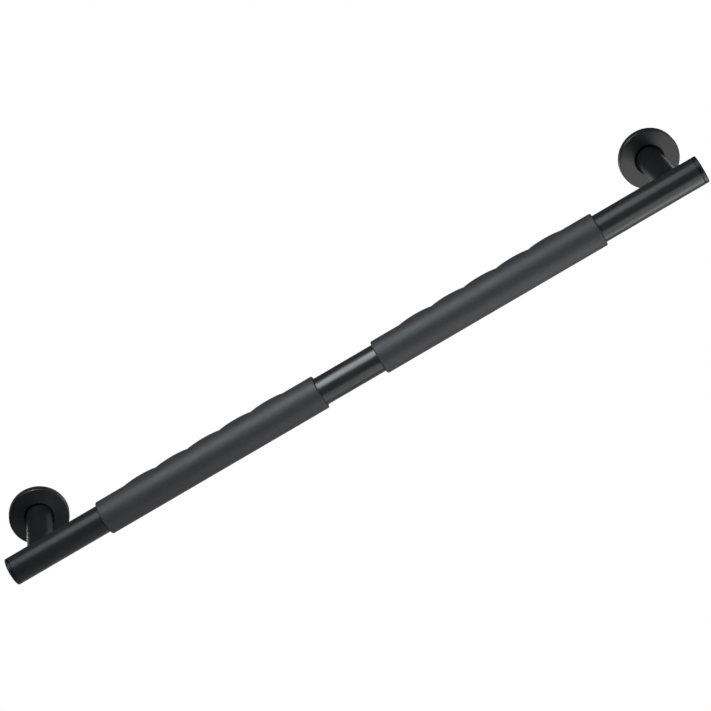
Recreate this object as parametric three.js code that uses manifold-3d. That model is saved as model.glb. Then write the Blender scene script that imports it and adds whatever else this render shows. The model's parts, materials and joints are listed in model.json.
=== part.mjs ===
// Wall-mounted pull-up bar: a straight round bar with two contoured grip sleeves, carried by two standoff
// posts whose base plates screw to a wall under sliding round covers.
//
// Frame, in millimetres: the wall is the plane y = 0 and -Y points away from it into the room. +X runs along
// the bar, +Z is up, and the origin lies on the wall midway between the two posts. "Rise" is a distance from
// the wall, so a point at rise r has y = -r.

import * as THREE from 'three';
import { mergeVertices } from 'three/addons/utils/BufferGeometryUtils.js';
import Module from 'manifold-3d';

const wasm = await Module();
wasm.setup();

// ---------- driving dimensions ----------

const BAR_LENGTH = 863; // over both end caps
const BAR_DIAMETER = 32;
const BAR_WALL = 2;
const POST_SPACING = 790; // from post axis to post axis
const STANDOFF = 112; // wall to bar axis

const POST_DIAMETER = 29;
const POST_WALL = 2.5;
const SADDLE_WELD_LEG = 3.2;
const SADDLE_WELD_FILL = 0.25; // how far the hollow is filled along the post, 0 at the root
const BASE_WELD_LEG = 1.6;

const CAP_HEAD_LENGTH = 4.5;
const CAP_EDGE_ROUND = 1;
const CAP_SEAM = 0.5; // parting line between the cap's head and the tube
const CAP_SPIGOT_LENGTH = 16;
const CAP_SPIGOT_BORE = 16;
const CAP_RING_SECTION = 1.6; // diameter of the rubber ring's section
const CAP_RING_FROM_HEAD = 8;

const GRIP_LENGTH = 273;
const GRIP_GAP = 73; // bare bar between the two grips
const GRIP_PAIR_OFFSET = -4.5; // middle of the pair along the bar
const GRIP_WALL = 3.2; // sleeve thickness away from the waves
const GRIP_END_ROUND = 1.6;
const GRIP_WAVE_COUNT = 5;
const GRIP_WAVE_PITCH = 40;
const GRIP_WAVE_HEIGHT = 2.6; // on the wall side, none on the room side
const GRIP_WAVE_POWER = 0.5; // of a sine: the smaller, the broader the crests and the narrower the valleys
const GRIP_WAVE_FULL_ANGLE = THREE.MathUtils.degToRad(40); // full height up to here, from the wall side
const GRIP_WAVE_END_ANGLE = THREE.MathUtils.degToRad(97); // none beyond here

const GASKET_INSET = 1.5; // how far the gasket's edge stays inside the plate's
const GASKET_THICKNESS = 1;
const PLATE_THICKNESS = 3.5;
const PLATE_BORE = 14; // through the plate and its gasket
const PLATE_SCREW_COUNT = 3;
const PLATE_SCREW_HOLE = 5.2;
const PLATE_SCREW_SINK = 9.4;
const PLATE_SCREW_SINK_DEPTH = 2.1;
const PLATE_RING_SECTION = 1.8;

const COVER_DIAMETER = 68.2;
const COVER_FRONT_WALL = 2.6;
const COVER_SIDE_WALL = 2;
const COVER_EDGE_ROUND = 1.2;
const COVER_LIP_CHAMFER = 2.2; // bevel around the post hole

// ---------- clearances ----------

const CONTACT_GAP = 0.3; // between pieces that touch
const COVER_WALL_GAP = 0.4; // under the cover's rim
const COVER_PLATE_CLEARANCE = 1.6; // between the plate's rim and the inside of the cover's side
const COVER_POST_CLEARANCE = 0.6;
const COVER_WELD_CLEARANCE = 0.2; // between the base weld and the inside of the cover
const CUT_OVERRUN = 5; // how far a cutter runs past what it cuts
const MERGE_DISTANCE = 1e-4; // vertices closer than this are one

// ---------- roundness ----------

const SEGMENTS_ROUND = 36; // round the bar, posts, plates and covers
const SEGMENTS_GRIP = 24;
const SEGMENTS_CAP_RING = 24;
const SEGMENTS_SCREW = 12;
const SEGMENTS_RING_SECTION = 6;
const ROUND_STEPS = 2;
const STEPS_PER_WAVE = 5;

// ---------- worked out from the above ----------

const BAR_RADIUS = BAR_DIAMETER / 2;
const BAR_BORE_RADIUS = BAR_RADIUS - BAR_WALL;
const POST_RADIUS = POST_DIAMETER / 2;
const CAP_SHOULDER = BAR_LENGTH / 2 - CAP_HEAD_LENGTH; // where the cap's head meets its spigot
const TUBE_HALF = CAP_SHOULDER - CAP_SEAM;
const CAP_SPIGOT_RADIUS = BAR_BORE_RADIUS - CONTACT_GAP;
const CAP_RING_RADIUS = CAP_SPIGOT_RADIUS - CAP_RING_SECTION / 2;
const CAP_GROOVE_FLOOR = CAP_RING_RADIUS - CAP_RING_SECTION / 2 - CONTACT_GAP;
const PLATE_BACK = GASKET_THICKNESS + CONTACT_GAP;
const PLATE_FRONT = PLATE_BACK + PLATE_THICKNESS;
const POST_BASE = PLATE_FRONT + CONTACT_GAP;
const COVER_RADIUS = COVER_DIAMETER / 2;
const COVER_INSIDE = POST_BASE + BASE_WELD_LEG + COVER_WELD_CLEARANCE;
const COVER_HEIGHT = COVER_INSIDE + COVER_FRONT_WALL;
const COVER_HOLE_RADIUS = POST_RADIUS + COVER_POST_CLEARANCE;
const PLATE_RADIUS = COVER_RADIUS - COVER_SIDE_WALL - COVER_PLATE_CLEARANCE;
const PLATE_RING_RADIUS = COVER_RADIUS - COVER_SIDE_WALL - CONTACT_GAP - PLATE_RING_SECTION / 2;
const PLATE_RING_RISE = PLATE_BACK + PLATE_THICKNESS / 2;
const PLATE_GROOVE_FLOOR = PLATE_RING_RADIUS - PLATE_RING_SECTION / 2 - CONTACT_GAP;
const WELD_ROOT = POST_RADIUS + CONTACT_GAP;
const SCREW_CIRCLE_RADIUS = (WELD_ROOT + BASE_WELD_LEG + PLATE_GROOVE_FLOOR) / 2;
const GRIP_BORE_RADIUS = BAR_RADIUS + CONTACT_GAP;
const GRIP_RADIUS = GRIP_BORE_RADIUS + GRIP_WALL;
const GASKET_RADIUS = PLATE_RADIUS - GASKET_INSET;

const SIDES = [
  ['left', -1],
  ['right', 1],
];

// ---------- materials ----------

function makeBarFinish() {
  return new THREE.MeshStandardMaterial({ color: 0x17181a, roughness: 0.38, metalness: 0.6 });
}

function makePostFinish() {
  return new THREE.MeshStandardMaterial({ color: 0x141517, roughness: 0.34, metalness: 0.6 });
}

function makeCoverFinish() {
  return new THREE.MeshStandardMaterial({ color: 0x1b1c1e, roughness: 0.4, metalness: 0.6 });
}

function makePlateFinish() {
  return new THREE.MeshStandardMaterial({ color: 0x202123, roughness: 0.5, metalness: 0.7 });
}

function makeCapFinish() {
  return new THREE.MeshStandardMaterial({ color: 0x121314, roughness: 0.35, metalness: 0.1 });
}

function makeGripFinish() {
  return new THREE.MeshStandardMaterial({ color: 0x2a2c30, roughness: 0.85, metalness: 0 });
}

function makeSealFinish() {
  return new THREE.MeshStandardMaterial({ color: 0x0c0c0d, roughness: 0.7, metalness: 0 });
}

// ---------- solids, joins and cuts ----------

function bareGeometry(geometry) {
  const bare = geometry.clone();
  bare.deleteAttribute('normal');
  bare.deleteAttribute('uv');
  return mergeVertices(bare, MERGE_DISTANCE);
}

function toSolid(geometry) {
  const bare = bareGeometry(geometry);
  const vertProperties = new Float32Array(bare.attributes.position.array);
  const triVerts = new Uint32Array(bare.index.array);
  return new wasm.Manifold(new wasm.Mesh({ numProp: 3, vertProperties, triVerts }));
}

function toGeometry(solid) {
  const mesh = solid.getMesh();
  const geometry = new THREE.BufferGeometry();
  geometry.setAttribute('position', new THREE.BufferAttribute(new Float32Array(mesh.vertProperties), 3));
  geometry.setIndex(new THREE.BufferAttribute(new Uint32Array(mesh.triVerts), 1));
  geometry.computeVertexNormals();
  return geometry;
}

function cutAway(geometry, cutters) {
  const solid = cutters.reduce((rest, cutter) => rest.subtract(toSolid(cutter)), toSolid(geometry));
  return toGeometry(solid);
}

// Turns a closed profile of [radius, height] points about Y. The profile is listed anticlockwise.
function turned(profile, segments) {
  const points = profile.map(([radius, height]) => new THREE.Vector2(radius, height));
  points.push(points[0].clone());
  return new THREE.LatheGeometry(points, segments);
}

// Points of a quarter circle about (radius, height), from one angle to another, in degrees.
function arcPoints(radius, height, size, fromDegrees, toDegrees) {
  return Array.from({ length: ROUND_STEPS + 1 }, (_, step) => {
    const share = step / ROUND_STEPS;
    const angle = THREE.MathUtils.degToRad(fromDegrees + (toDegrees - fromDegrees) * share);
    return [radius + size * Math.cos(angle), height + size * Math.sin(angle)];
  });
}

// A rubber ring of round section about Z.
function ringGeometry(radius, section, segments) {
  return new THREE.TorusGeometry(radius, section / 2, SEGMENTS_RING_SECTION, segments);
}

function namedMesh(name, geometry, material) {
  const mesh = new THREE.Mesh(geometry, material);
  mesh.name = name;
  return mesh;
}

// ---------- the bar and its end caps, on the bar's own axis ----------

function makeBarTube() {
  const profile = [
    [BAR_BORE_RADIUS, -TUBE_HALF],
    [BAR_RADIUS, -TUBE_HALF],
    [BAR_RADIUS, TUBE_HALF],
    [BAR_BORE_RADIUS, TUBE_HALF],
  ];
  const geometry = turned(profile, SEGMENTS_ROUND);
  geometry.rotateZ(-Math.PI / 2);
  return namedMesh('bar_tube', geometry, makeBarFinish());
}

function makeEndCap(name, side) {
  const end = BAR_LENGTH / 2;
  const spigotEnd = CAP_SHOULDER - CAP_SPIGOT_LENGTH;
  const ringPlace = CAP_SHOULDER - CAP_RING_FROM_HEAD;
  const grooveHalf = CAP_RING_SECTION / 2 + CONTACT_GAP;
  const profile = [
    [0, ringPlace - grooveHalf],
    [CAP_SPIGOT_BORE / 2, ringPlace - grooveHalf],
    [CAP_SPIGOT_BORE / 2, spigotEnd],
    [CAP_SPIGOT_RADIUS, spigotEnd],
    [CAP_SPIGOT_RADIUS, ringPlace - grooveHalf],
    [CAP_GROOVE_FLOOR, ringPlace - grooveHalf],
    [CAP_GROOVE_FLOOR, ringPlace + grooveHalf],
    [CAP_SPIGOT_RADIUS, ringPlace + grooveHalf],
    [CAP_SPIGOT_RADIUS, CAP_SHOULDER],
    [BAR_RADIUS, CAP_SHOULDER],
    ...arcPoints(BAR_RADIUS - CAP_EDGE_ROUND, end - CAP_EDGE_ROUND, CAP_EDGE_ROUND, 0, 90),
    [0, end],
  ];
  const points = profile.map(([radius, height]) => new THREE.Vector2(radius, height));
  const geometry = new THREE.LatheGeometry(points, SEGMENTS_ROUND);
  geometry.rotateZ((-side * Math.PI) / 2);
  return namedMesh(`${name}_end_cap`, geometry, makeCapFinish());
}

function makeCapRing(name, side) {
  const geometry = ringGeometry(CAP_RING_RADIUS, CAP_RING_SECTION, SEGMENTS_CAP_RING);
  geometry.rotateY(Math.PI / 2);
  const mesh = namedMesh(`${name}_cap_ring`, geometry, makeSealFinish());
  mesh.position.x = side * (CAP_SHOULDER - CAP_RING_FROM_HEAD);
  return mesh;
}

// ---------- grip sleeves ----------

// Share of the wave height at a place along the sleeve: broad round crests and narrow valleys.
function waveAlong(place) {
  const half = (GRIP_WAVE_COUNT * GRIP_WAVE_PITCH) / 2;
  if (Math.abs(place) >= half) {
    return 0;
  }
  const crest = Math.abs(Math.sin((Math.PI * (place + half)) / GRIP_WAVE_PITCH));
  return Math.pow(crest, GRIP_WAVE_POWER);
}

// Share of the wave height around the sleeve, by angle from the wall side.
function waveAround(angle) {
  const share = (angle - GRIP_WAVE_FULL_ANGLE) / (GRIP_WAVE_END_ANGLE - GRIP_WAVE_FULL_ANGLE);
  const fade = THREE.MathUtils.clamp(share, 0, 1);
  return Math.cos((fade * Math.PI) / 2) ** 2;
}

function gripOutline() {
  const half = GRIP_LENGTH / 2;
  const corner = GRIP_RADIUS - GRIP_END_ROUND;
  const steps = GRIP_WAVE_COUNT * STEPS_PER_WAVE;
  const waved = Array.from({ length: steps + 1 }, (_, step) => {
    return [GRIP_RADIUS, (step / steps - 0.5) * GRIP_WAVE_COUNT * GRIP_WAVE_PITCH];
  });
  return [
    [GRIP_BORE_RADIUS, -half],
    ...arcPoints(corner, -half + GRIP_END_ROUND, GRIP_END_ROUND, -90, 0),
    ...waved,
    ...arcPoints(corner, half - GRIP_END_ROUND, GRIP_END_ROUND, 0, 90),
    [GRIP_BORE_RADIUS, half],
  ];
}

// The sleeve is turned about Y, its wall side is raised into waves, then it is laid along the bar.
function makeGrip(name, side) {
  const geometry = turned(gripOutline(), SEGMENTS_GRIP);
  const position = geometry.attributes.position;
  const point = new THREE.Vector3();
  for (let index = 0; index < position.count; index += 1) {
    point.fromBufferAttribute(position, index);
    const radius = Math.hypot(point.x, point.z);
    const angle = Math.abs(Math.atan2(point.z, -point.x));
    const onSkin = radius > GRIP_RADIUS - GRIP_END_ROUND / 2;
    const height = onSkin ? GRIP_WAVE_HEIGHT * waveAlong(point.y) * waveAround(angle) : 0;
    const grown = (radius + height) / radius;
    position.setXYZ(index, point.x * grown, point.y, point.z * grown);
  }
  geometry.rotateZ(-Math.PI / 2);
  const mesh = namedMesh(`${name}_grip`, geometry, makeGripFinish());
  mesh.position.x = GRIP_PAIR_OFFSET + (side * (GRIP_GAP + GRIP_LENGTH)) / 2;
  return mesh;
}

// ---------- one bracket: everything between the wall and the bar, turned about the post's axis ----------
//
// Inside a bracket +Y is the rise from the wall, so the bracket's group is turned half way round X.

function makePost(name) {
  const profile = [
    [POST_RADIUS - POST_WALL, POST_BASE],
    [POST_RADIUS, POST_BASE],
    [POST_RADIUS, STANDOFF],
    [POST_RADIUS - POST_WALL, STANDOFF],
  ];
  const seat = BAR_RADIUS + CONTACT_GAP;
  const cutter = new THREE.CylinderGeometry(seat, seat, POST_DIAMETER + 2 * CUT_OVERRUN, SEGMENTS_ROUND);
  cutter.rotateZ(Math.PI / 2);
  cutter.translate(0, STANDOFF, 0);
  return namedMesh(`${name}_post`, cutAway(turned(profile, SEGMENTS_ROUND), [cutter]), makePostFinish());
}

// A place on the bar's skin, given the way round the post and the distance out from the post's wall.
function placeOnBar(around, out) {
  const skin = BAR_RADIUS + CONTACT_GAP;
  const turn = Math.asin((WELD_ROOT * Math.sin(around)) / skin) + (out * Math.sin(around)) / skin;
  const along = (WELD_ROOT + out) * Math.cos(around);
  return new THREE.Vector3(along, STANDOFF - skin * Math.cos(turn), -skin * Math.sin(turn));
}

// Corners of the weld's section at one place round the post: a hollow fillet from the bar to the post.
function saddleSection(around) {
  const root = placeOnBar(around, 0);
  const onBar = placeOnBar(around, SADDLE_WELD_LEG);
  const onPost = root.clone();
  onPost.y -= SADDLE_WELD_LEG;
  const hollow = new THREE.QuadraticBezierCurve3(onPost, root.clone().lerp(onPost, SADDLE_WELD_FILL), onBar);
  return [onBar, root, ...hollow.getPoints(ROUND_STEPS).slice(0, -1)];
}

// A ring whose every section is moved onto the saddle line where the round post meets the round bar.
function makeSaddleWeld(name) {
  const corners = saddleSection(0).length;
  const geometry = new THREE.TorusGeometry(POST_RADIUS, SADDLE_WELD_LEG, corners, SEGMENTS_ROUND);
  const position = geometry.attributes.position;
  for (let index = 0; index < position.count; index += 1) {
    const step = index % (SEGMENTS_ROUND + 1);
    const corner = Math.floor(index / (SEGMENTS_ROUND + 1)) % corners;
    const around = ((step % SEGMENTS_ROUND) / SEGMENTS_ROUND) * 2 * Math.PI;
    const place = saddleSection(around)[corner];
    position.setXYZ(index, place.x, place.y, place.z);
  }
  return namedMesh(`${name}_saddle_weld`, geometry, makePostFinish());
}

function makeBaseWeld(name) {
  const profile = [
    [WELD_ROOT, POST_BASE],
    ...arcPoints(WELD_ROOT + BASE_WELD_LEG, POST_BASE + BASE_WELD_LEG, BASE_WELD_LEG, 270, 180),
  ];
  return namedMesh(`${name}_base_weld`, turned(profile, SEGMENTS_ROUND), makePlateFinish());
}

// The screw holes sit evenly on a circle, the first one straight up.
function screwPlaces() {
  return Array.from({ length: PLATE_SCREW_COUNT }, (_, index) => {
    const angle = Math.PI / 2 + (index * 2 * Math.PI) / PLATE_SCREW_COUNT;
    return [SCREW_CIRCLE_RADIUS * Math.cos(angle), -SCREW_CIRCLE_RADIUS * Math.sin(angle)];
  });
}

function screwCutters(bottom, top) {
  return screwPlaces().map(([along, across]) => {
    const length = top - bottom + 2 * CUT_OVERRUN;
    const radius = PLATE_SCREW_HOLE / 2;
    const cutter = new THREE.CylinderGeometry(radius, radius, length, SEGMENTS_SCREW);
    cutter.translate(along, (top + bottom) / 2, across);
    return cutter;
  });
}

// Cones that take a countersunk screw head, widest at the plate's front face.
function sinkCutters() {
  const widening = (PLATE_SCREW_SINK - PLATE_SCREW_HOLE) / (2 * PLATE_SCREW_SINK_DEPTH);
  const height = PLATE_SCREW_SINK_DEPTH + CUT_OVERRUN;
  const wide = PLATE_SCREW_SINK / 2 + widening * CUT_OVERRUN;
  return screwPlaces().map(([along, across]) => {
    const cutter = new THREE.CylinderGeometry(wide, PLATE_SCREW_HOLE / 2, height, SEGMENTS_SCREW);
    cutter.translate(along, PLATE_FRONT - PLATE_SCREW_SINK_DEPTH + height / 2, across);
    return cutter;
  });
}

// A round plate with a groove round its rim for the ring that holds the cover.
function makeBasePlate(name) {
  const bore = PLATE_BORE / 2;
  const grooveHalf = PLATE_RING_SECTION / 2 + CONTACT_GAP;
  const profile = [
    [bore, PLATE_BACK],
    [PLATE_RADIUS, PLATE_BACK],
    [PLATE_RADIUS, PLATE_RING_RISE - grooveHalf],
    [PLATE_GROOVE_FLOOR, PLATE_RING_RISE - grooveHalf],
    [PLATE_GROOVE_FLOOR, PLATE_RING_RISE + grooveHalf],
    [PLATE_RADIUS, PLATE_RING_RISE + grooveHalf],
    [PLATE_RADIUS, PLATE_FRONT],
    [bore, PLATE_FRONT],
  ];
  const cutters = [...screwCutters(PLATE_BACK, PLATE_FRONT), ...sinkCutters()];
  const geometry = cutAway(turned(profile, SEGMENTS_ROUND), cutters);
  return namedMesh(`${name}_base_plate`, geometry, makePlateFinish());
}

function makePlateRing(name) {
  const geometry = ringGeometry(PLATE_RING_RADIUS, PLATE_RING_SECTION, SEGMENTS_ROUND);
  geometry.rotateX(Math.PI / 2);
  const mesh = namedMesh(`${name}_plate_ring`, geometry, makeSealFinish());
  mesh.position.y = PLATE_RING_RISE;
  return mesh;
}

// A flat rubber washer between the base plate and the wall.
function makeGasket(name) {
  const profile = [
    [PLATE_BORE / 2, 0],
    [GASKET_RADIUS, 0],
    [GASKET_RADIUS, GASKET_THICKNESS],
    [PLATE_BORE / 2, GASKET_THICKNESS],
  ];
  const geometry = cutAway(turned(profile, SEGMENTS_ROUND), screwCutters(0, GASKET_THICKNESS));
  return namedMesh(`${name}_wall_gasket`, geometry, makeSealFinish());
}

// The cup that hides the base plate: it slides along the post, and its post hole has a bevelled lip.
function makeFlangeCover(name) {
  const inside = COVER_RADIUS - COVER_SIDE_WALL;
  const edge = COVER_RADIUS - COVER_EDGE_ROUND;
  const profile = [
    [inside, COVER_WALL_GAP],
    [COVER_RADIUS, COVER_WALL_GAP],
    ...arcPoints(edge, COVER_HEIGHT - COVER_EDGE_ROUND, COVER_EDGE_ROUND, 0, 90),
    [COVER_HOLE_RADIUS + COVER_LIP_CHAMFER, COVER_HEIGHT],
    [COVER_HOLE_RADIUS, COVER_HEIGHT - COVER_LIP_CHAMFER],
    [COVER_HOLE_RADIUS, COVER_INSIDE],
    [inside, COVER_INSIDE],
  ];
  return namedMesh(`${name}_flange_cover`, turned(profile, SEGMENTS_ROUND), makeCoverFinish());
}

function makeBracket(name, side) {
  const bracket = new THREE.Group();
  bracket.add(makePost(name));
  bracket.add(makeSaddleWeld(name));
  bracket.add(makeBaseWeld(name));
  bracket.add(makeBasePlate(name));
  bracket.add(makePlateRing(name));
  bracket.add(makeGasket(name));
  bracket.add(makeFlangeCover(name));
  bracket.position.x = (side * POST_SPACING) / 2;
  bracket.rotation.x = Math.PI;
  return bracket;
}

// ---------- the whole object ----------

function makePullUpBar() {
  const whole = new THREE.Group();
  const barLine = new THREE.Group();
  barLine.position.y = -STANDOFF;
  barLine.add(makeBarTube());
  for (const [name, side] of SIDES) {
    barLine.add(makeEndCap(name, side));
    barLine.add(makeCapRing(name, side));
    barLine.add(makeGrip(name, side));
    whole.add(makeBracket(name, side));
  }
  whole.add(barLine);
  return whole;
}

export default makePullUpBar();
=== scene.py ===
"""Looks of a wall-mounted pull-up bar: coated tube, contoured sleeves, standoff posts and round flanges.

Every surface is a function of two parameters, worked out with numpy on a grid and laid exactly over the
solid of the frame that it stands for. Metres throughout. +X runs along the bar, the wall is the plane y = 0,
-Y points away from it, +Z is up.
"""

import json
import logging
import math
from dataclasses import dataclass, field
from enum import Enum
from typing import Dict, List, Optional, Sequence, Tuple, Union

import bmesh
import bpy
import numpy as np
from mathutils import Matrix, Vector

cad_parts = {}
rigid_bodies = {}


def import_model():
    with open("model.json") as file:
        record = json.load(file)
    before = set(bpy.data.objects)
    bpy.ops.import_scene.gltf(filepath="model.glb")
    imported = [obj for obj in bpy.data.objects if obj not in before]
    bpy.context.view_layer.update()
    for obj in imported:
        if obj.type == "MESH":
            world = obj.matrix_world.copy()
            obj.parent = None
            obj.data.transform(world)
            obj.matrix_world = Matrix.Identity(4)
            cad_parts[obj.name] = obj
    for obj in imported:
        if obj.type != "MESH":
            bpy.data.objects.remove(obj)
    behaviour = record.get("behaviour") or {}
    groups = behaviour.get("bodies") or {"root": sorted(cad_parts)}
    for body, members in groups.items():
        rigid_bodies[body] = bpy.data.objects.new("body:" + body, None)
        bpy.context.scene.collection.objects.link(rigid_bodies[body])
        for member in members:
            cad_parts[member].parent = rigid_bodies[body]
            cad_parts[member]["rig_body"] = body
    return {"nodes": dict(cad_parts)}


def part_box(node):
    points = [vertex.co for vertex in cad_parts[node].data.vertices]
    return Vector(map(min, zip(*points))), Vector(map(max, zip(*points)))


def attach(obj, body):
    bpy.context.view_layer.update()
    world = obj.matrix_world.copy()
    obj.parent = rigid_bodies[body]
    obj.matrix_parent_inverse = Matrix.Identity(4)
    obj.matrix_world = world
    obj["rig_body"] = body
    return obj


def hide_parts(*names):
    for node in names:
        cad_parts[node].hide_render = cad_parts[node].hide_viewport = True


log = logging.getLogger("pull_up_bar")
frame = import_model()

MM = 0.001
ROUND = 2 * math.pi
CONTACT_GAP = 0.3 * MM  # air between pieces that touch
MERGE_DISTANCE = 1e-7  # points closer than this are one
SHARP_ANGLE = math.radians(32)  # edges sharper than this stay crisp
ARC_SUPPORT = 0.2  # distance of an arc's support points from its ends, as a share of its radius

Colour = Tuple[float, float, float]
Place = Tuple[float, float, float]
Corner = Tuple[float, float, float]
Span = Tuple[float, float]


# ---------- places read from the frame ----------


class Side(Enum):
    """Which end of the bar a piece belongs to; the value is the sign of its X."""

    LEFT = -1
    RIGHT = 1

    @property
    def word(self) -> str:
        """The word that names of pieces and nodes start with."""
        return self.name.lower()


class Axis(Enum):
    """The line that a turned piece is turned about."""

    BAR = "bar"
    POST = "post"


def node_centre(node: str) -> np.ndarray:
    """Middle of a node's box."""
    low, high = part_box(node)
    return (np.array(low) + np.array(high)) / 2


def node_size(node: str) -> np.ndarray:
    """Lengths of a node's box."""
    low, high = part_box(node)
    return np.array(high) - np.array(low)


# ---------- grids of points to meshes ----------


def rounded_outline(corners: Sequence[Corner], steps: int = 6) -> np.ndarray:
    """Closed outline whose corners are replaced by arcs.

    At a corner of half angle h, an arc of radius r touches both edges r / tan(h) from the corner, about a
    centre r / sin(h) along the bisector. A support point just outside each end of the arc keeps the flats
    flat.

    Args:
        corners: (radius, height, rounding) of each corner, in order; a rounding of 0 stays sharp.
        steps: chords in each arc.

    Returns:
        Array (n, 2) of points, first point not repeated.
    """
    spots = np.array(corners, float)[:, :2]
    points: List[np.ndarray] = []
    for index, (_, _, rounding) in enumerate(corners):
        here = spots[index]
        if rounding <= 0:
            points.append(here[None, :])
            continue
        before = spots[index - 1] - here
        after = spots[(index + 1) % len(spots)] - here
        back = before / np.linalg.norm(before)
        ahead = after / np.linalg.norm(after)
        half = math.acos(float(np.clip(back @ ahead, -1, 1))) / 2
        reach = rounding / math.tan(half)
        bisector = (back + ahead) / np.linalg.norm(back + ahead)
        centre = here + bisector * rounding / math.sin(half)
        start = here + back * reach - centre
        end = here + ahead * reach - centre
        share = np.linspace(0, 1, steps + 1)[:, None]
        spread = math.pi - 2 * half
        arc = (np.sin((1 - share) * spread) * start + np.sin(share * spread) * end) / math.sin(spread)
        support = ARC_SUPPORT * rounding
        points.append((centre + start + back * support)[None, :])
        points.append(centre + arc)
        points.append((centre + end + ahead * support)[None, :])
    return np.concatenate(points)


def turn_angles(columns: int) -> np.ndarray:
    """Evenly spaced angles of one turn, as a row."""
    return np.linspace(0, ROUND, columns, endpoint=False)[None, :]


def surface_uv(outline: np.ndarray, columns: int) -> np.ndarray:
    """Surface coordinates of a turned outline: u is the share of a turn, v the length along the outline.

    Args:
        outline: (n, 2) closed outline.
        columns: steps round.

    Returns:
        Array (n + 1, columns + 1, 2), with the seams' far sides in the extra row and column.
    """
    loop = np.concatenate([outline, outline[:1]])
    lengths = np.concatenate([[0], np.cumsum(np.linalg.norm(np.diff(loop, axis=0), axis=1))])
    u, v = np.meshgrid(np.linspace(0, 1, columns + 1), lengths)
    return np.stack([u, v], -1)


def finished_object(name: str, mesh: bpy.types.Mesh) -> bpy.types.Object:
    """Merges coincident points, turns faces outwards, smooths the shading and links the object.

    Args:
        name: the piece's name.
        mesh: its mesh, changed in place.

    Returns:
        The linked object, at the origin.
    """
    shell = bmesh.new()
    shell.from_mesh(mesh)
    bmesh.ops.remove_doubles(shell, verts=shell.verts, dist=MERGE_DISTANCE)
    bmesh.ops.recalc_face_normals(shell, faces=shell.faces)
    shell.to_mesh(mesh)
    shell.free()
    mesh.polygons.foreach_set("use_smooth", np.ones(len(mesh.polygons), bool))
    piece = bpy.data.objects.new(name, mesh)
    bpy.context.scene.collection.objects.link(piece)
    return piece


def grid_mesh(name: str, points: np.ndarray, uv: np.ndarray, close_rows: bool = True) -> bpy.types.Object:
    """Mesh of a grid that is closed round its columns.

    Face (i, j) joins rows i, i + 1 and columns j, j + 1, counted round. Points that fall together at a pole
    are merged, and the faces are turned outwards.

    Args:
        name: the piece's name.
        points: (rows, columns, 3) positions in metres.
        uv: (rows + 1, columns + 1, 2) surface coordinates.
        close_rows: whether the last row joins the first.

    Returns:
        The linked object, at the origin.
    """
    rows, columns = points.shape[:2]
    bands = rows if close_rows else rows - 1
    i, j = np.meshgrid(np.arange(bands), np.arange(columns), indexing="ij")
    here, above = i * columns, (i + 1) % rows * columns
    j_next = (j + 1) % columns
    faces = np.stack([here + j, here + j_next, above + j_next, above + j], -1)
    corner_uv = np.stack([uv[i, j], uv[i, j + 1], uv[i + 1, j + 1], uv[i + 1, j]], 2)
    mesh = bpy.data.meshes.new(name)
    mesh.from_pydata(points.reshape(-1, 3).tolist(), [], faces.reshape(-1, 4).tolist())
    layer = mesh.uv_layers.new(name="surface")
    layer.data.foreach_set("uv", corner_uv.reshape(-1).astype(np.float32))
    return finished_object(name, mesh)


def about_axis(axis: Axis, along: np.ndarray, radius: np.ndarray, angle: np.ndarray) -> np.ndarray:
    """Points of a turned surface about one of the two axes through the origin.

    BAR: (along, -radius cos angle, radius sin angle), so angle 0 faces the room.
    POST: (radius cos angle, -along, radius sin angle), so along is the height off the wall.

    Args:
        axis: the line it is turned about.
        along: places along that line.
        radius: distances from it.
        angle: angles round it; the three arrays are broadcast together.

    Returns:
        Array (..., 3) of points.
    """
    level = np.broadcast_to(along, np.broadcast(along, radius, angle).shape)
    if axis is Axis.BAR:
        return np.stack([level, -radius * np.cos(angle), radius * np.sin(angle)], -1)
    return np.stack([radius * np.cos(angle), -level, radius * np.sin(angle)], -1)


def turned(name: str, outline: np.ndarray, axis: Axis, middle: np.ndarray, columns: int) -> bpy.types.Object:
    """Surface of revolution: each outline point (r, h) sweeps the circle of radius r at height h.

    Args:
        name: the piece's name.
        outline: (n, 2) closed outline of radius and height.
        axis: the line it is turned about.
        middle: a point of that line, from which heights count.
        columns: steps round.

    Returns:
        The linked object.
    """
    angle = turn_angles(columns)
    radius, height = outline[:, :1], outline[:, 1:]
    points = about_axis(axis, height, radius * np.ones_like(angle), angle) + middle
    return grid_mesh(name, points, surface_uv(outline, columns))


def cut_through(piece: bpy.types.Object, cutters: Sequence[bpy.types.Object]) -> None:
    """Takes the cutters out of the piece and deletes them.

    Args:
        piece: the object that is cut.
        cutters: closed objects that stand in it.
    """
    for cutter in cutters:
        cut = piece.modifiers.new("cut", "BOOLEAN")
        cut.operation = "DIFFERENCE"
        cut.solver = "EXACT"
        cut.object = cutter
    shaped = bpy.data.meshes.new_from_object(piece.evaluated_get(bpy.context.evaluated_depsgraph_get()))
    piece.modifiers.clear()
    piece.data = shaped
    for cutter in cutters:
        bpy.data.objects.remove(cutter)


def keep_edges_crisp(piece: bpy.types.Object) -> None:
    """Shades a piece smoothly, except across its sharp edges."""
    piece.data.polygons.foreach_set("use_smooth", np.ones(len(piece.data.polygons), bool))
    piece.data.set_sharp_from_angle(angle=SHARP_ANGLE)


# ---------- shader arithmetic ----------


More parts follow.
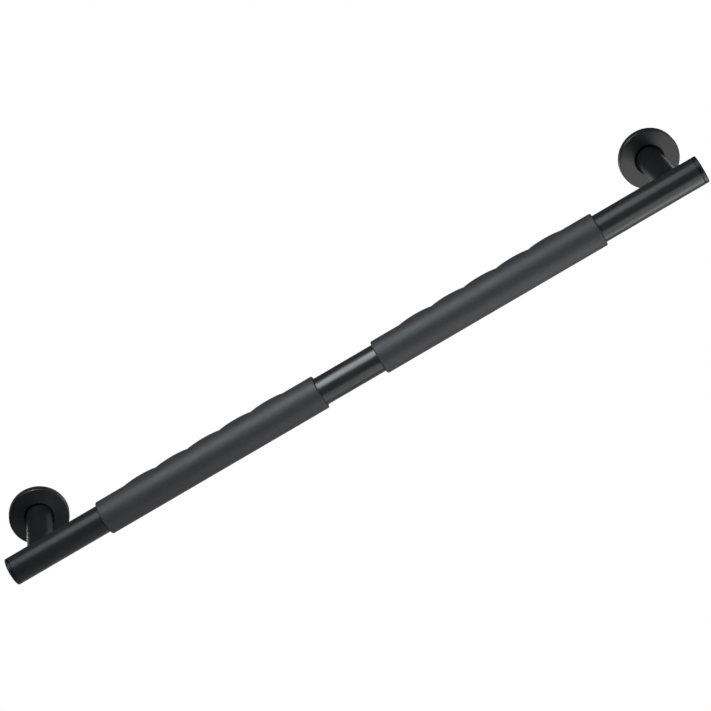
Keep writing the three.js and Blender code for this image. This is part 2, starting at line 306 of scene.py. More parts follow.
class Signal:
    """A shader socket that Python arithmetic can be done on."""

    def __init__(self, sheet: "Sheet", socket: bpy.types.NodeSocket) -> None:
        """Wraps one output socket of a sheet."""
        self.sheet = sheet
        self.socket = socket

    def _math(self, operation: str, first: "Term", second: "Term") -> "Signal":
        """One Math node."""
        return self.sheet.node("ShaderNodeMath", {"operation": operation}, {0: first, 1: second})

    def __add__(self, other: "Term") -> "Signal":
        """self + other."""
        return self._math("ADD", self, other)

    def __radd__(self, other: "Term") -> "Signal":
        """other + self."""
        return self._math("ADD", other, self)

    def __sub__(self, other: "Term") -> "Signal":
        """self - other."""
        return self._math("SUBTRACT", self, other)

    def __rsub__(self, other: "Term") -> "Signal":
        """other - self."""
        return self._math("SUBTRACT", other, self)

    def __mul__(self, other: "Term") -> "Signal":
        """self * other."""
        return self._math("MULTIPLY", self, other)

    def __rmul__(self, other: "Term") -> "Signal":
        """other * self."""
        return self._math("MULTIPLY", other, self)


Term = Union[Signal, float, Sequence[float]]


class Sheet:
    """The node tree of a material or of the room, with a single way to add a node."""

    def __init__(self, owner: Union[bpy.types.Material, bpy.types.World]) -> None:
        """Starts on the owner's node tree, emptied."""
        owner.use_nodes = True
        self.owner = owner
        self.tree = owner.node_tree
        self.tree.nodes.clear()

    def node(self, kind: str, settings: Dict[str, object], inputs: Dict[Union[int, str], Term],
             output: Union[int, str] = 0) -> Signal:
        """Adds a node.

        Args:
            kind: Blender's name of the node's type.
            settings: attributes of the node, set first.
            inputs: values or links of its sockets, by name or number.
            output: the socket that comes back.

        Returns:
            That output as a signal.
        """
        made = self.tree.nodes.new(kind)
        for key, value in settings.items():
            setattr(made, key, value)
        for key, value in inputs.items():
            if isinstance(value, Signal):
                self.tree.links.new(value.socket, made.inputs[key])
            else:
                made.inputs[key].default_value = value
        return Signal(self, made.outputs[output])

    def place(self) -> Signal:
        """Object coordinates, in metres."""
        return self.node("ShaderNodeTexCoord", {}, {}, "Object")

    def surface(self) -> Signal:
        """The piece's own surface coordinates."""
        return self.node("ShaderNodeTexCoord", {}, {}, "UV")

    def seen(self) -> Signal:
        """1 where the floor or the room is looked at, 0 where it gives light."""
        return self.node("ShaderNodeLightPath", {}, {}, "Is Camera Ray")

    def noise(self, size: float, detail: float, vector: Optional[Signal] = None) -> Signal:
        """Soft random field whose lumps are about size metres across."""
        inputs = {"Vector": vector or self.place(), "Scale": 1 / size, "Detail": detail}
        return self.node("ShaderNodeTexNoise", {}, inputs)

    def spread(self, signal: Signal, span: Span) -> Signal:
        """Stretches the part of a signal that lies in the span over 0 to 1."""
        inputs = {"Value": signal, "From Min": span[0], "From Max": span[1]}
        return self.node("ShaderNodeMapRange", {}, inputs)

    def blend(self, share: Term, first: Colour, second: Colour) -> Signal:
        """Colour between two, by a share."""
        inputs = {0: share, 6: (*first, 1), 7: (*second, 1)}
        return self.node("ShaderNodeMix", {"data_type": "RGBA"}, inputs, 2)

    def bump(self, height: Signal, depth: float, below: Optional[Signal] = None) -> Signal:
        """Normal of a relief.

        Args:
            height: the relief, from 0 to 1.
            depth: its depth in metres.
            below: the normal that it lies over, if any.

        Returns:
            The new normal.
        """
        inputs = {"Height": height, "Distance": depth, "Strength": 1.0}
        if below is not None:
            inputs["Normal"] = below
        return self.node("ShaderNodeBump", {}, inputs, "Normal")

    def finish(self, inputs: Dict[str, Term]) -> bpy.types.Material:
        """Closes the tree with one Principled shader and returns the material."""
        return self.close("ShaderNodeOutputMaterial", self.node("ShaderNodeBsdfPrincipled", {}, inputs))

    def close(self, kind: str, shader: Signal) -> Union[bpy.types.Material, bpy.types.World]:
        """Ends the tree with an output node.

        Args:
            kind: Blender's name of the output node's type.
            shader: what it shows.

        Returns:
            The tree's owner.
        """
        out = self.tree.nodes.new(kind)
        self.tree.links.new(shader.socket, out.inputs["Surface"])
        return self.owner


# ---------- finishes ----------


@dataclass(frozen=True)
class PowderCoat:
    """Satin black powder coat on steel: an orange-peel skin, fine grain and faint cloudy gloss.

    Fields are linear colours, plain numbers, and lengths in metres. A turned pitch above 0 adds the lathe
    lines of a turned piece under the coat.
    """

    name: str
    colour: Colour
    warm_colour: Colour
    roughness: float
    peel_size: float = 1.6 * MM
    peel_depth: float = 0.010 * MM
    grain_size: float = 0.28 * MM
    grain_depth: float = 0.006 * MM
    grain_gloss: float = 0.06
    cloud_size: float = 38 * MM
    cloud_span: Span = (0.3, 0.7)
    cloud_gloss: float = 0.05
    cloud_share: float = 0.65
    turned_pitch: float = 0.0
    turned_depth: float = 0.004 * MM
    lumps_per_turn: float = 2.0
    ior: float = 1.5

    def material(self) -> bpy.types.Material:
        """Builds the node material."""
        sheet = Sheet(bpy.data.materials.new(self.name))
        cloud = sheet.spread(sheet.noise(self.cloud_size, detail=3), self.cloud_span)
        grain = sheet.noise(self.grain_size, detail=2)
        normal = sheet.bump(sheet.noise(self.peel_size, detail=1.5), self.peel_depth)
        normal = sheet.bump(grain, self.grain_depth, normal)
        if self.turned_pitch > 0:
            normal = sheet.bump(self._turning(sheet), self.turned_depth, normal)
        shade = self.cloud_share * cloud + (1 - self.cloud_share) * grain
        return sheet.finish({
            "Base Color": sheet.blend(shade, self.colour, self.warm_colour),
            "Roughness": self.roughness + self.cloud_gloss * (cloud - 0.5) + self.grain_gloss * (grain - 0.5),
            "Normal": normal,
            "IOR": self.ior,
        })

    def _turning(self, sheet: Sheet) -> Signal:
        """Fine lathe lines: noise at one pitch along the outline, drawn out round the piece."""
        squeeze = (self.lumps_per_turn, 1 / self.turned_pitch, 0.0)
        lines = sheet.node("ShaderNodeMapping", {}, {"Vector": sheet.surface(), "Scale": squeeze})
        return sheet.noise(1.0, detail=2, vector=lines)


@dataclass(frozen=True)
class SleeveRubber:
    """Matte charcoal rubber: a pebbled skin with a fine mottle, in patches of slightly different grey."""

    name: str
    colour: Colour
    pale_colour: Colour
    roughness: float
    patch_size: float = 26 * MM
    patch_span: Span = (0.3, 0.7)
    patch_gloss: float = 0.08
    patch_share: float = 0.25
    pebble_size: float = 0.75 * MM
    pebble_depth: float = 0.05 * MM
    pebble_softness: float = 0.6
    pebble_span: Span = (0.1, 0.75)
    pebble_gloss: float = 0.08
    pebble_share: float = 0.3
    mottle_size: float = 2.6 * MM
    mottle_depth: float = 0.05 * MM
    mottle_span: Span = (0.25, 0.75)
    mottle_share: float = 0.45
    fine_size: float = 0.22 * MM
    fine_depth: float = 0.015 * MM
    ior: float = 1.48

    def material(self) -> bpy.types.Material:
        """Builds the node material."""
        sheet = Sheet(bpy.data.materials.new(self.name))
        patch = sheet.spread(sheet.noise(self.patch_size, detail=3), self.patch_span)
        pebble = self._pebbles(sheet)
        mottle = sheet.spread(sheet.noise(self.mottle_size, detail=2), self.mottle_span)
        normal = sheet.bump(mottle, self.mottle_depth)
        normal = sheet.bump(pebble, self.pebble_depth, normal)
        normal = sheet.bump(sheet.noise(self.fine_size, detail=2), self.fine_depth, normal)
        shade = self.patch_share * patch + self.pebble_share * pebble + self.mottle_share * mottle
        return sheet.finish({
            "Base Color": sheet.blend(shade, self.colour, self.pale_colour),
            "Roughness": self.roughness + self.patch_gloss * (patch - 0.5) - self.pebble_gloss * pebble,
            "Normal": normal,
            "IOR": self.ior,
        })

    def _pebbles(self, sheet: Sheet) -> Signal:
        """Soft round grains, 1 on top and 0 between them."""
        inputs = {"Vector": sheet.place(), "Scale": 1 / self.pebble_size, "Smoothness": self.pebble_softness}
        cells = sheet.node("ShaderNodeTexVoronoi", {"feature": "SMOOTH_F1"}, inputs)
        return 1 - sheet.spread(cells, self.pebble_span)


@dataclass(frozen=True)
class MouldedBlack:
    """Plain black moulded piece, plastic or seal rubber, with a spark-eroded grain and a faint bloom."""

    name: str
    colour: Colour
    pale_colour: Colour
    roughness: float
    grain_size: float = 0.35 * MM
    grain_depth: float = 0.012 * MM
    grain_gloss: float = 0.08
    bloom_size: float = 9 * MM
    bloom_span: Span = (0.35, 0.75)
    bloom_gloss: float = 0.1
    ior: float = 1.47

    def material(self) -> bpy.types.Material:
        """Builds the node material."""
        sheet = Sheet(bpy.data.materials.new(self.name))
        bloom = sheet.spread(sheet.noise(self.bloom_size, detail=4), self.bloom_span)
        grain = sheet.noise(self.grain_size, detail=2)
        return sheet.finish({
            "Base Color": sheet.blend(bloom, self.colour, self.pale_colour),
            "Roughness": self.roughness + self.bloom_gloss * (bloom - 0.5) + self.grain_gloss * (grain - 0.5),
            "Normal": sheet.bump(grain, self.grain_depth),
            "IOR": self.ior,
        })


Finish = Union[PowderCoat, SleeveRubber, MouldedBlack]

BAR_COAT = PowderCoat("bar_coat", (0.017, 0.018, 0.019), (0.024, 0.025, 0.026), 0.31)
# The bar's powder coat, painted darker for the posts and the saddle welds: the extra darkness is painted
# shade.
SHADED_POST_COAT = PowderCoat("post_coat", (0.010, 0.010, 0.011), (0.014, 0.014, 0.015), 0.34)
COVER_COAT = PowderCoat(
    "cover_coat", (0.016, 0.016, 0.017), (0.023, 0.023, 0.024), 0.28, turned_pitch=0.35 * MM
)
PLATE_COAT = PowderCoat(
    "plate_coat", (0.025, 0.025, 0.026), (0.034, 0.034, 0.035), 0.45, turned_pitch=0.8 * MM
)
SLEEVE_RUBBER = SleeveRubber("sleeve_rubber", (0.033, 0.033, 0.035), (0.046, 0.046, 0.049), 0.56)
CAP_PLASTIC = MouldedBlack("cap_plastic", (0.010, 0.010, 0.011), (0.015, 0.015, 0.016), 0.32)
SEAL_RUBBER = MouldedBlack("seal_rubber", (0.010, 0.010, 0.010), (0.022, 0.022, 0.022), 0.6)


# ---------- placing finished pieces ----------


class Workshop:
    """Dresses, places and reports each finished piece."""

    def __init__(self) -> None:
        """Starts with no materials made."""
        self.materials: Dict[str, bpy.types.Material] = {}
        self.count = 0

    def settle(self, piece: bpy.types.Object, node: str, finish: Finish) -> None:
        """Gives a piece its finish and puts it in a node's place.

        Args:
            piece: the finished mesh object.
            node: the node of the frame that it stands for.
            finish: the finish that it wears.
        """
        if finish.name not in self.materials:
            self.materials[finish.name] = finish.material()
        piece.data.materials.clear()
        piece.data.materials.append(self.materials[finish.name])
        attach(piece, frame["nodes"][node]["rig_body"])
        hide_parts(node)
        self.count += 1
        log.info("%s stands for %s: %d faces", piece.name, node, len(piece.data.polygons))


@dataclass
class RubberRing:
    """A rubber ring in a groove: a circle carried round a circle, as wide as its node's box."""

    node: str
    axis: Axis
    middle: np.ndarray
    steps: int = 24
    columns: int = 128
    section: float = field(init=False)
    radius: float = field(init=False)

    def __post_init__(self) -> None:
        """Reads the ring's section and radius from the frame."""
        size = node_size(self.node)
        if self.axis is Axis.BAR:
            self.section, across = size[0], size[2]
        else:
            self.section, across = size[1], size[0]
        self.radius = across / 2 - self.section / 2

    @property
    def groove(self) -> float:
        """Radius of the floor of the groove that the ring lies in."""
        return self.radius - self.section / 2 - CONTACT_GAP

    @property
    def half_groove(self) -> float:
        """Half the width of that groove."""
        return self.section / 2 + CONTACT_GAP

    def build(self, shop: Workshop, name: str) -> None:
        """Turns the ring.

        Args:
            shop: where it is finished.
            name: the piece's name.
        """
        turn = turn_angles(self.steps)[0]
        across = self.radius + self.section / 2 * np.cos(turn)
        outline = np.stack([across, self.section / 2 * np.sin(turn)], -1)
        piece = turned(name, outline, self.axis, self.middle, self.columns)
        shop.settle(piece, self.node, SEAL_RUBBER)


# ---------- the bar's line ----------


@dataclass
class BarTube:
    """The straight round tube."""

    edge_round: float = 0.35 * MM
    wall: float = 2 * MM
    columns: int = 192
    radius: float = field(init=False)
    half_length: float = field(init=False)
    middle: np.ndarray = field(init=False)

    def __post_init__(self) -> None:
        """Reads the tube's place and size from the frame."""
        size = node_size("bar_tube")
        self.middle = node_centre("bar_tube")
        self.half_length = size[0] / 2
        self.radius = size[2] / 2

    @property
    def bore(self) -> float:
        """Inside radius."""
        return self.radius - self.wall

    def build(self, shop: Workshop) -> None:
        """Turns the tube: a rounded rectangle of wall by length about the bar's axis.

        Args:
            shop: where it is finished.
        """
        outline = rounded_outline([
            (self.bore, -self.half_length, self.edge_round),
            (self.radius, -self.half_length, self.edge_round),
            (self.radius, self.half_length, self.edge_round),
            (self.bore, self.half_length, self.edge_round),
        ])
        piece = turned("coated_tube", outline, Axis.BAR, self.middle, self.columns)
        shop.settle(piece, "bar_tube", BAR_COAT)


@dataclass
class EndCap:
    """A flush plug for the tube's end, with the rubber ring that holds it."""

    side: Side
    tube: BarTube
    head_length: float = 4.5 * MM
    edge_round: float = 1.0 * MM
    seam_round: float = 0.35 * MM
    spigot_round: float = 0.2 * MM
    spigot_bore: float = 8 * MM
    columns: int = 128

    def build(self, shop: Workshop) -> None:
        """Turns the cap and its ring.

        Args:
            shop: where they are finished.
        """
        word = self.side.word
        node = f"{word}_end_cap"
        ring_node = f"{word}_cap_ring"
        seal = RubberRing(ring_node, Axis.BAR, node_centre(ring_node))
        outline = self._outline(node, seal)
        outline[:, 1] *= self.side.value
        middle = self.tube.middle * np.array([0, 1, 1])
        piece = turned(f"{word}_cap", outline, Axis.BAR, middle, self.columns)
        shop.settle(piece, node, CAP_PLASTIC)
        seal.build(shop, f"{word}_cap_seal")

    def _outline(self, node: str, seal: RubberRing) -> np.ndarray:
        """Outline from the bored spigot, with its groove, to the head's rounded face.

        Args:
            node: the cap's node.
            seal: the ring in its groove.

        Returns:
            Radius of each point and its distance from the bar's middle.
        """
        low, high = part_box(node)
        tip = max(abs(low.x), abs(high.x))
        inner = tip - (high.x - low.x)
        shoulder = tip - self.head_length
        spigot = self.tube.bore - CONTACT_GAP
        near = abs(seal.middle[0]) - seal.half_groove
        far = abs(seal.middle[0]) + seal.half_groove
        soft = self.spigot_round
        return rounded_outline([
            (0, near, 0),
            (self.spigot_bore, near, soft),
            (self.spigot_bore, inner, soft),
            (spigot, inner, soft),
            (spigot, near, soft),
            (seal.groove, near, soft),
            (seal.groove, far, soft),
            (spigot, far, soft),
            (spigot, shoulder, soft),
            (self.tube.radius, shoulder, self.seam_round),
            (self.tube.radius, tip, self.edge_round),
            (0, tip, 0),
        ])


@dataclass
class GripSleeve:
    """A soft sleeve with broad waves on its wall side, for fingers pulling from behind."""

    side: Side
    tube: BarTube
    wave_count: int = 5
    wave_pitch: float = 40 * MM
    wave_height: float = 2.6 * MM
    wave_power: float = 0.5
    valley_softness: float = 0.03
    full_angle: float = math.radians(40)
    end_angle: float = math.radians(97)
    wall: float = 3.2 * MM
    end_round: float = 1.6 * MM
    bore_round: float = 0.5 * MM
    bore_clearance: float = 0.05 * MM
    columns: int = 160
    rows_per_wave: int = 44
    flank_rows: int = 10
    flank_start: float = 2 * MM
    flank_end: float = 3 * MM

    @property
    def reach(self) -> float:
        """Distance from the sleeve's middle to the end of its waves."""
        return self.wave_count * self.wave_pitch / 2

    def waves(self, place: np.ndarray, angle: np.ndarray) -> np.ndarray:
        """Height of the waves.

        Along the sleeve it is |sin| to the wave power, which gives broad crests and narrow valleys. |sin| is
        softened to sqrt(sin^2 + v^2) so that the valleys are round, and the result runs from 0 to 1. Round
        the sleeve it is full up to one angle from the wall side and fades by cos^2 to nothing at another.

        Args:
            place: distance from the sleeve's middle.
            angle: angle from the room side.

        Returns:
            Height over the plain sleeve.
        """
        swing = np.sin(math.pi * (place + self.reach) / self.wave_pitch)
        valley = self.valley_softness**self.wave_power
        crest = math.hypot(1, self.valley_softness) ** self.wave_power
        along = (np.hypot(swing, self.valley_softness) ** self.wave_power - valley) / (crest - valley)
        from_wall = np.abs(angle - math.pi)
        fade = np.clip((from_wall - self.full_angle) / (self.end_angle - self.full_angle), 0, 1)
        round_share = np.cos(fade * math.pi / 2) ** 2
        return self.wave_height * along * round_share * (np.abs(place) < self.reach)

    def build(self, shop: Workshop) -> None:
        """Turns the plain sleeve and raises the waves, whose rows are all on its outside.

        Args:
            shop: where it is finished.
        """
        node = f"{self.side.word}_grip"
        middle = node_centre(node)
        middle[1] = self.tube.middle[1]
        outline = self._outline(node_size(node)[0] / 2)
        angle = turn_angles(self.columns)
        radius, place = outline[:, :1], outline[:, 1:]
        points = about_axis(Axis.BAR, place, radius + self.waves(place, angle), angle) + middle
        piece = grid_mesh(f"{self.side.word}_sleeve", points, surface_uv(outline, self.columns))
        shop.settle(piece, node, SLEEVE_RUBBER)

    def _outline(self, half: float) -> np.ndarray:
        """Outline of the plain sleeve, with rows close enough along its outside to carry the waves.

        Args:
            half: half the sleeve's length.

        Returns:
            Radius of each point and its distance from the sleeve's middle.
        """
        bore = self.tube.radius + self.bore_clearance
        radius = self.tube.radius + CONTACT_GAP + self.wall
        ends = rounded_outline([
            (bore, -half, self.bore_round),
            (radius, -half, self.end_round),
            (radius, half, self.end_round),
            (bore, half, self.bore_round),
        ])
        rows = np.linspace(-self.reach, self.reach, self.wave_count * self.rows_per_wave + 1)
        flank = np.linspace(self.reach + self.flank_start, half - self.flank_end, self.flank_rows)
        places = np.concatenate([-flank[::-1], rows, flank])
        skin = np.stack([np.full_like(places, radius), places], -1)
        split = len(ends) // 2
        return np.concatenate([ends[:split], skin, ends[split:]])


# ---------- the brackets ----------


@dataclass
class Bracket:
    """Everything between the wall and the bar at one end."""

    side: Side
    tube: BarTube
    post_wall: float = 2.5 * MM
    weld_leg: float = 3.2 * MM
    bury: float = 0.08 * MM
    columns: int = 160
    climb_rows: int = 48
    fillet_rows: int = 25
    middle: np.ndarray = field(init=False)
    post_radius: float = field(init=False)
    standoff: float = field(init=False)

    def __post_init__(self) -> None:
        """Reads the post's axis and size from the frame."""
        post = f"{self.side.word}_post"
        self.post_radius = node_size(post)[0] / 2
        self.middle = node_centre(post) * np.array([1, 0, 1])
        self.standoff = -self.tube.middle[1]

    def build(self, shop: Workshop) -> None:
        """Builds the bracket's pieces from the bar to the wall.

        Args:
            shop: where they are finished.
        """
        self._build_post(shop)
        self._build_saddle_weld(shop)
        WallPlate(self).build(shop)
        FlangeCover(self).build(shop)

    def _saddle_height(self, across: np.ndarray) -> np.ndarray:
        """Height off the wall of the bar's skin: standoff - sqrt(R^2 - z^2), z being the place across it."""
        return self.standoff - np.sqrt(np.maximum(self.tube.radius**2 - across**2, 0))

    def _build_post(self, shop: Workshop) -> None:
        """Tube whose walls climb from its base to the saddle line on the bar, and a hair into the bar.

        Args:
            shop: where it is finished.
        """
        node = f"{self.side.word}_post"
        base = -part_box(node)[1].y
        angle = turn_angles(self.columns)
        climb = np.linspace(0, 1, self.climb_rows)[:, None]
        outer = np.full_like(climb, self.post_radius)
        radii = np.concatenate([outer, outer - self.post_wall])
        shares = np.concatenate([climb, climb[::-1]])
        top = self._saddle_height(radii * np.sin(angle)) - self.bury
        height = base + shares * (top - base)
        points = about_axis(Axis.POST, height, radii * np.ones_like(angle), angle) + self.middle
        outline = np.concatenate([radii, shares * self.standoff], 1)
        piece = grid_mesh(f"{self.side.word}_standoff", points, surface_uv(outline, self.columns))
        keep_edges_crisp(piece)
        shop.settle(piece, node, SHADED_POST_COAT)

    def _place_on_bar(self, out: float) -> np.ndarray:
        """Ring of points on the bar's skin, a distance out from where the post's wall meets it.

        With r the post's radius and R the bar's, the wall meets the skin at the turn asin(r sin(angle) / R),
        and going out adds out sin(angle) / R to the turn and out cos(angle) to the place along the bar.

        Args:
            out: the distance out.

        Returns:
            Array (columns, 3) of points about the post's axis.
        """
        angle = turn_angles(self.columns)[0]
        skin = self.tube.radius - self.bury
        root = self.post_radius - self.bury
        turn = np.arcsin(root * np.sin(angle) / skin) + out * np.sin(angle) / skin
        along = (root + out) * np.cos(angle)
        return np.stack([along, -(self.standoff - skin * np.cos(turn)), skin * np.sin(turn)], -1)

    def _build_saddle_weld(self, shop: Workshop) -> None:
        """Hollow fillet of post and bar.

        Between a point down the post and a point out on the bar runs a quadratic Bezier curve whose control
        point is the root, so that it leaves both walls along them.

        Args:
            shop: where it is finished.
        """
        root = self._place_on_bar(0)
        on_bar = self._place_on_bar(self.weld_leg)
        on_post = root + np.array([0, self.weld_leg, 0])
        share = np.linspace(0, 1, self.fillet_rows)[:, None, None]
        hollow = (1 - share) ** 2 * on_post + 2 * share * (1 - share) * root + share**2 * on_bar
        points = np.concatenate([root[None], hollow]) + self.middle
        rows = np.linspace(0, self.weld_leg, len(points))
        outline = np.stack([rows, np.zeros_like(rows)], -1)
        piece = grid_mesh(f"{self.side.word}_saddle_fillet", points, surface_uv(outline, self.columns))
        keep_edges_crisp(piece)
        shop.settle(piece, f"{self.side.word}_saddle_weld", SHADED_POST_COAT)


@dataclass
class ScrewHoles:
    """Evenly spaced countersunk holes round a post's axis, the first one straight up."""

    circle: float
    front: float
    back: float
    count: int = 3
    hole: float = 5.2 * MM
    sink: float = 9.4 * MM
    sink_depth: float = 2.1 * MM
    overrun: float = 2 * MM
    columns: int = 64

    def cutters(self, middle: np.ndarray) -> List[bpy.types.Object]:
        """Turned cutters: a cylinder that widens by a cone to the front face.

        Args:
            middle: where the post's axis meets the wall.

        Returns:
            One object for each hole.
        """
        slope = (self.sink - self.hole) / (2 * self.sink_depth) if self.sink_depth > 0 else 0
        wide = self.hole / 2 + slope * (self.sink_depth + self.overrun)
        outline = np.array([
            (0, self.back - self.overrun),
            (self.hole / 2, self.back - self.overrun),
            (self.hole / 2, self.front - self.sink_depth),
            (wide, self.front + self.overrun),
            (0, self.front + self.overrun),
        ])
        angles = math.pi / 2 + np.arange(self.count) * ROUND / self.count
        spots = np.stack([np.cos(angles), np.zeros_like(angles), np.sin(angles)], -1) * self.circle + middle
        return [turned("cutter", outline, Axis.POST, spot, self.columns) for spot in spots]


@dataclass
class WallPlate:
    """What a cover hides: the foot weld, the screwed plate with the ring in its rim, and the gasket."""

    bracket: Bracket
    bore: float = 7 * MM
    edge_round: float = 0.25 * MM
    groove_round: float = 0.15 * MM
    gasket_round: float = 0.2 * MM
    arc_steps: int = 4
    foot_leg: float = 1.6 * MM
    bead_columns: int = 360
    bead_rows: int = 13
    ripple_depth: float = 0.10
    ripple_count: int = 32
    ripple_lean: float = 0.8
    word: str = field(init=False)
    seal: RubberRing = field(init=False)
    screw_circle: float = field(init=False)

    def __post_init__(self) -> None:
        """Finds the rim's ring, and the screws' circle midway between the foot and the rim's groove."""
        self.word = self.bracket.side.word
        level = node_centre(f"{self.word}_base_plate")[1]
        ring_middle = self.bracket.middle + np.array([0, level, 0])
        self.seal = RubberRing(f"{self.word}_plate_ring", Axis.POST, ring_middle)
        foot = self.bracket.post_radius + CONTACT_GAP + self.foot_leg
        self.screw_circle = (foot + self.seal.groove) / 2

    def build(self, shop: Workshop) -> None:
        """Builds the pieces from the post to the wall.

        Args:
            shop: where they are finished.
        """
        self._build_foot_weld(shop)
        self._build_plate(shop)
        self.seal.build(shop, f"{self.word}_rim_seal")
        self._build_gasket(shop)

    def _build_foot_weld(self, shop: Workshop) -> None:
        """Weld round the post's foot: a quarter-round hollow whose skin ripples along the bead.

        The hollow swings about the point one leg out and one leg up, from straight down to straight in, at
        leg (1 - depth |sin(count angle + lean cos(swing))|) from it.

        Args:
            shop: where it is finished.
        """
        node = f"{self.word}_base_weld"
        low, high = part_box(node)
        post = self.bracket.post_radius
        floor = -high.y - CONTACT_GAP
        leg = (high.x - low.x) / 2 - post - CONTACT_GAP
        angle = turn_angles(self.bead_columns)
        swing = np.linspace(1.5 * math.pi, math.pi, self.bead_rows)[:, None]
        phase = angle * self.ripple_count + self.ripple_lean * np.cos(swing)
        reach = leg * (1 - self.ripple_depth * np.abs(np.sin(phase)))
        root = np.full_like(angle, post - self.bracket.bury)
        radius = np.concatenate([root, post + leg + reach * np.cos(swing)])
        height = np.concatenate([np.full_like(angle, floor), floor + leg + reach * np.sin(swing)])
        points = about_axis(Axis.POST, height, radius, angle) + self.bracket.middle
        outline = np.stack([radius[:, 0], height[:, 0]], -1)
        piece = grid_mesh(f"{self.word}_foot_weld", points, surface_uv(outline, self.bead_columns))
        keep_edges_crisp(piece)
        shop.settle(piece, node, PLATE_COAT)

    def _build_plate(self, shop: Workshop) -> None:
        """Round base plate with its rim groove and countersunk holes.

        Args:
            shop: where it is finished.
        """
        node = f"{self.word}_base_plate"
        low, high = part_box(node)
        back, front = -high.y, -low.y
        rim = (high.x - low.x) / 2
        level = (back + front) / 2
        near, far = level - self.seal.half_groove, level + self.seal.half_groove
        outline = rounded_outline([
            (self.bore, back, self.edge_round),
            (rim, back, self.edge_round),
            (rim, near, self.groove_round),
            (self.seal.groove, near, self.groove_round),
            (self.seal.groove, far, self.groove_round),
            (rim, far, self.groove_round),
            (rim, front, self.edge_round),
            (self.bore, front, self.edge_round),
        ], self.arc_steps)
        holes = ScrewHoles(self.screw_circle, front, back)
        piece = self._drilled(f"{self.word}_mount_plate", outline, holes)
        shop.settle(piece, node, PLATE_COAT)

    def _build_gasket(self, shop: Workshop) -> None:
        """Flat rubber washer with clear holes for the screws.

        Args:
            shop: where it is finished.
        """
        node = f"{self.word}_wall_gasket"
        size = node_size(node)
        rim, thick = size[0] / 2, size[1]
        outline = rounded_outline([
            (self.bore, 0, self.gasket_round),
            (rim, 0, self.gasket_round),
            (rim, thick, self.gasket_round),
            (self.bore, thick, self.gasket_round),
        ], self.arc_steps)
        holes = ScrewHoles(self.screw_circle, front=thick, back=0, sink_depth=0)
        piece = self._drilled(f"{self.word}_gasket", outline, holes)
        shop.settle(piece, node, SEAL_RUBBER)

    def _drilled(self, name: str, outline: np.ndarray, holes: ScrewHoles) -> bpy.types.Object:
        """A washer with its screw holes.

        Args:
            name: the piece's name.
            outline: the washer's section.
            holes: the holes through it.

        Returns:
            The linked object.
        """
        piece = turned(name, outline, Axis.POST, self.bracket.middle, self.bracket.columns)
        cut_through(piece, holes.cutters(self.bracket.middle))
        keep_edges_crisp(piece)
        return piece


@dataclass
class FlangeCover:
    """Turned cup with a rounded outer edge and a bevelled lip round the post, along which it slides."""

    bracket: Bracket
    side_wall: float = 2 * MM
    front_wall: float = 2.6 * MM
    post_clearance: float = 0.6 * MM
    lip: float = 2.2 * MM
    rim_round: float = 0.3 * MM
    edge_round: float = 1.2 * MM
    lip_round: float = 0.25 * MM
    hole_round: float = 0.2 * MM
    back_round: float = 0.12 * MM
    inside_round: float = 0.6 * MM
    arc_steps: int = 8
    columns: int = 256

    def build(self, shop: Workshop) -> None:
        """Turns the cover.

        Args:
            shop: where it is finished.
        """
        word = self.bracket.side.word
        node = f"{word}_flange_cover"
        low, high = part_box(node)
        rim_level, face = -high.y, -low.y
        radius = (high.x - low.x) / 2
        inside = radius - self.side_wall
        ceiling = face - self.front_wall
        hole = self.bracket.post_radius + self.post_clearance
        outline = rounded_outline([
            (inside, rim_level, self.rim_round),
            (radius, rim_level, self.rim_round),
            (radius, face, self.edge_round),
            (hole + self.lip, face, self.lip_round),
            (hole, face - self.lip, self.hole_round),
            (hole, ceiling, self.back_round),
            (inside, ceiling, self.inside_round),
        ], self.arc_steps)
        piece = turned(f"{word}_cover", outline, Axis.POST, self.bracket.middle, self.columns)
        shop.settle(piece, node, COVER_COAT)


# ---------- the studio ----------


@dataclass
class SoftLight:
    """A large rectangular lamp aimed at a point."""

    name: str
    place: Place
    aim: Place
    width: float
    height: float
    power: float
    colour: Colour = (1.0, 1.0, 1.0)

    def hang(self) -> None:
        """Adds the lamp; it lights the part and isn't seen itself."""
        lamp = bpy.data.lights.new(self.name, "AREA")
        lamp.shape = "RECTANGLE"
        lamp.size = self.width
        lamp.size_y = self.height
        lamp.energy = self.power
        lamp.color = self.colour
        holder = bpy.data.objects.new(self.name, lamp)
        holder.location = self.place
        holder.rotation_euler = (Vector(self.aim) - Vector(self.place)).to_track_quat("-Z", "Y").to_euler()
        holder.visible_camera = False
        bpy.context.scene.collection.objects.link(holder)


@dataclass
class StudioCamera:
    """Long lens above and a little right of the middle, rolled so that the bar climbs to the right."""

    azimuth: float = math.radians(4.26)
    elevation: float = math.radians(21.31)
    roll: float = math.radians(-31.87)
    distance: float = 2.768
    lens: float = 130.43
    sensor_width: float = 36.0
    farthest: float = 100.0
    aim_offset: Place = (0.0117, 0.0003, 0.0157)

    def set_up(self, bar_middle: np.ndarray) -> None:
        """Places the camera on a sphere about a point near the bar's middle and rolls it.

        Args:
            bar_middle: middle of the bar.
        """
        toward = Vector((
            math.sin(self.azimuth) * math.cos(self.elevation),
            -math.cos(self.azimuth) * math.cos(self.elevation),
            math.sin(self.elevation),
        ))
        target = Vector(bar_middle.tolist()) + Vector(self.aim_offset)
        right = (-toward).cross(Vector((0, 0, 1))).normalized()
        up = right.cross(-toward)
        rolled_right = math.cos(self.roll) * right + math.sin(self.roll) * up
        rolled_up = -math.sin(self.roll) * right + math.cos(self.roll) * up
        turn = Matrix((rolled_right, rolled_up, toward)).transposed().to_4x4()
        lens = bpy.data.cameras.new("camera")
        lens.lens = self.lens
        lens.sensor_width = self.sensor_width
        lens.clip_end = self.farthest
        camera = bpy.data.objects.new("camera", lens)
        camera.matrix_world = Matrix.Translation(target + toward * self.distance) @ turn
        bpy.context.scene.collection.objects.link(camera)
        bpy.context.scene.camera = camera


